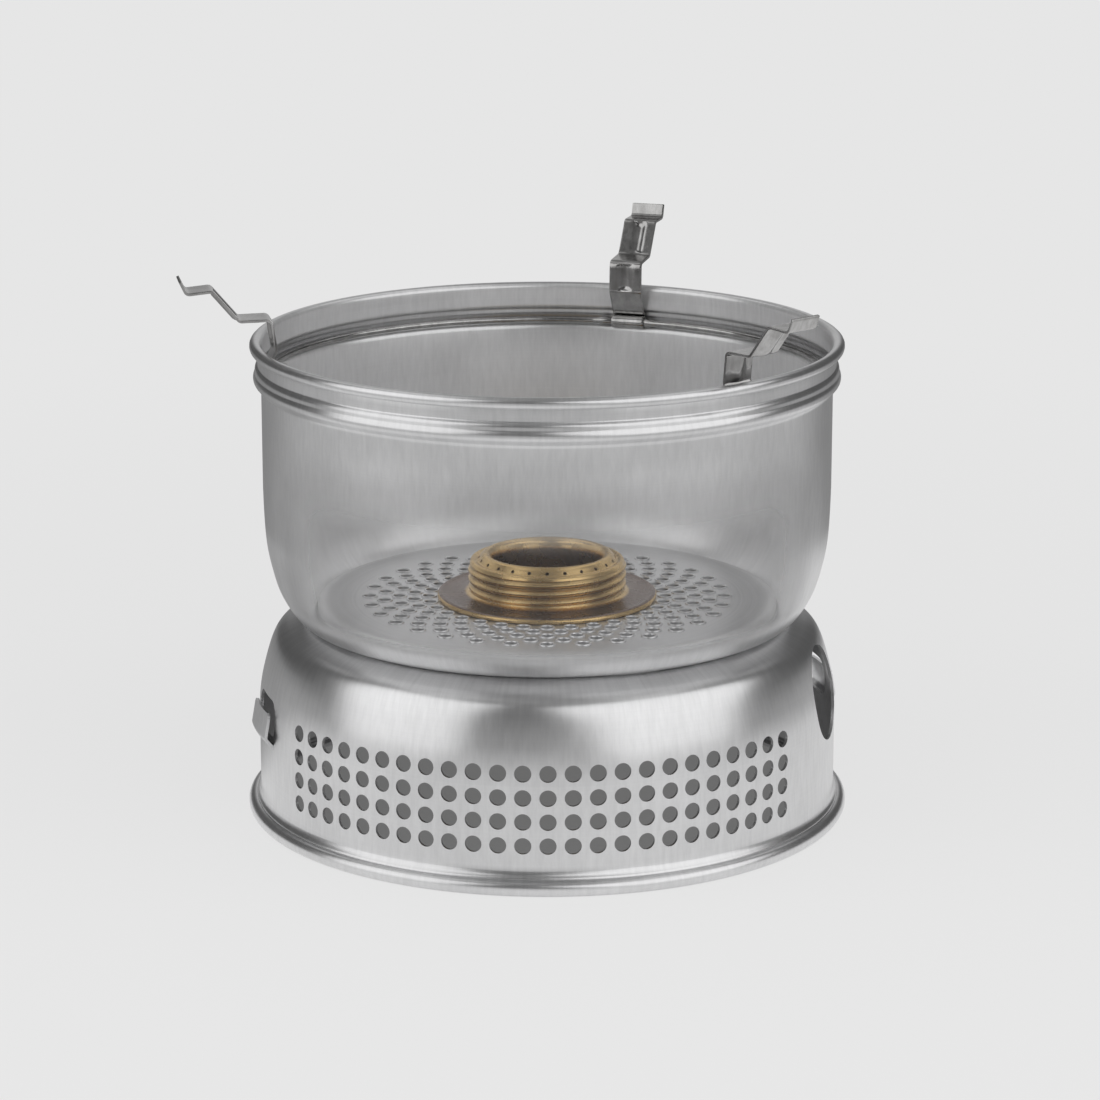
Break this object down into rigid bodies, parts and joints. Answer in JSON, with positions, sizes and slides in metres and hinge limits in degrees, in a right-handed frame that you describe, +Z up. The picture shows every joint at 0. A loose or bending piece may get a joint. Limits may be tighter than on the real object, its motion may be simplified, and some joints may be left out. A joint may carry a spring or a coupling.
{
  "type": "storm cooker",
  "caption": "Spirit burner in the perforated floor of a two-part spun windshield, with fold-down pan supports, a vented front and a hose hole",
  "frame": {"origin": "centre of the cooker's outline, on the surface that it stands on; the axis of the turned pieces is 9.9 mm to +X and 6.6 mm to -Y of it, because the pan supports lean out to one side", "axes": "+Z up, -Y the vented front, +X the side with the hose hole"},
  "size_m": [0.2234, 0.2158, 0.1876],
  "materials": {
    "spun_aluminium": "spun and satin brushed",
    "stainless_steel": "cold rolled strip and wire",
    "bronzed_brass": "bronzed, brushed",
    "wick_fibre": "packed mineral fibre"
  },
  "bodies": {
    "lower_windshield": {"lower_windshield": "spun_aluminium"},
    "upper_windshield": {"upper_windshield": "spun_aluminium", "support_ring": "stainless_steel"},
    "pan_support_back": {"pan_support_back": "stainless_steel"},
    "pan_support_left": {"pan_support_left": "stainless_steel"},
    "pan_support_right": {"pan_support_right": "stainless_steel"},
    "burner": {"burner_collar": "bronzed_brass", "burner_cup": "bronzed_brass", "burner_inner_wall": "bronzed_brass", "burner_wick": "wick_fibre"}
  },
  "joints": [
    {"name": "windshield_twist", "type": "hinge", "parent": "lower_windshield", "child": "upper_windshield", "pos_m": [0.0099, -0.00661, 0.063], "axis": [0, 0, 1], "range_deg": [-20, 0]},
    {"name": "fold_back_support", "type": "hinge", "parent": "upper_windshield", "child": "pan_support_back", "pos_m": [0.03895, 0.08279, 0.1489], "axis": [0.9511, -0.309, 0], "range_deg": [0, 153]},
    {"name": "fold_left_support", "type": "hinge", "parent": "upper_windshield", "child": "pan_support_left", "pos_m": [-0.08278, -0.02229, 0.1489], "axis": [-0.1668, 0.986, 0], "range_deg": [0, 159]},
    {"name": "fold_right_support", "type": "hinge", "parent": "upper_windshield", "child": "pan_support_right", "pos_m": [0.07219, -0.07701, 0.1489], "axis": [-0.749, -0.6626, 0], "range_deg": [0, 157]},
    {"name": "burner_lift", "type": "slide", "parent": "upper_windshield", "child": "burner", "axis": [0, 0, 1], "range_m": [0, 0.15]}
  ]
}
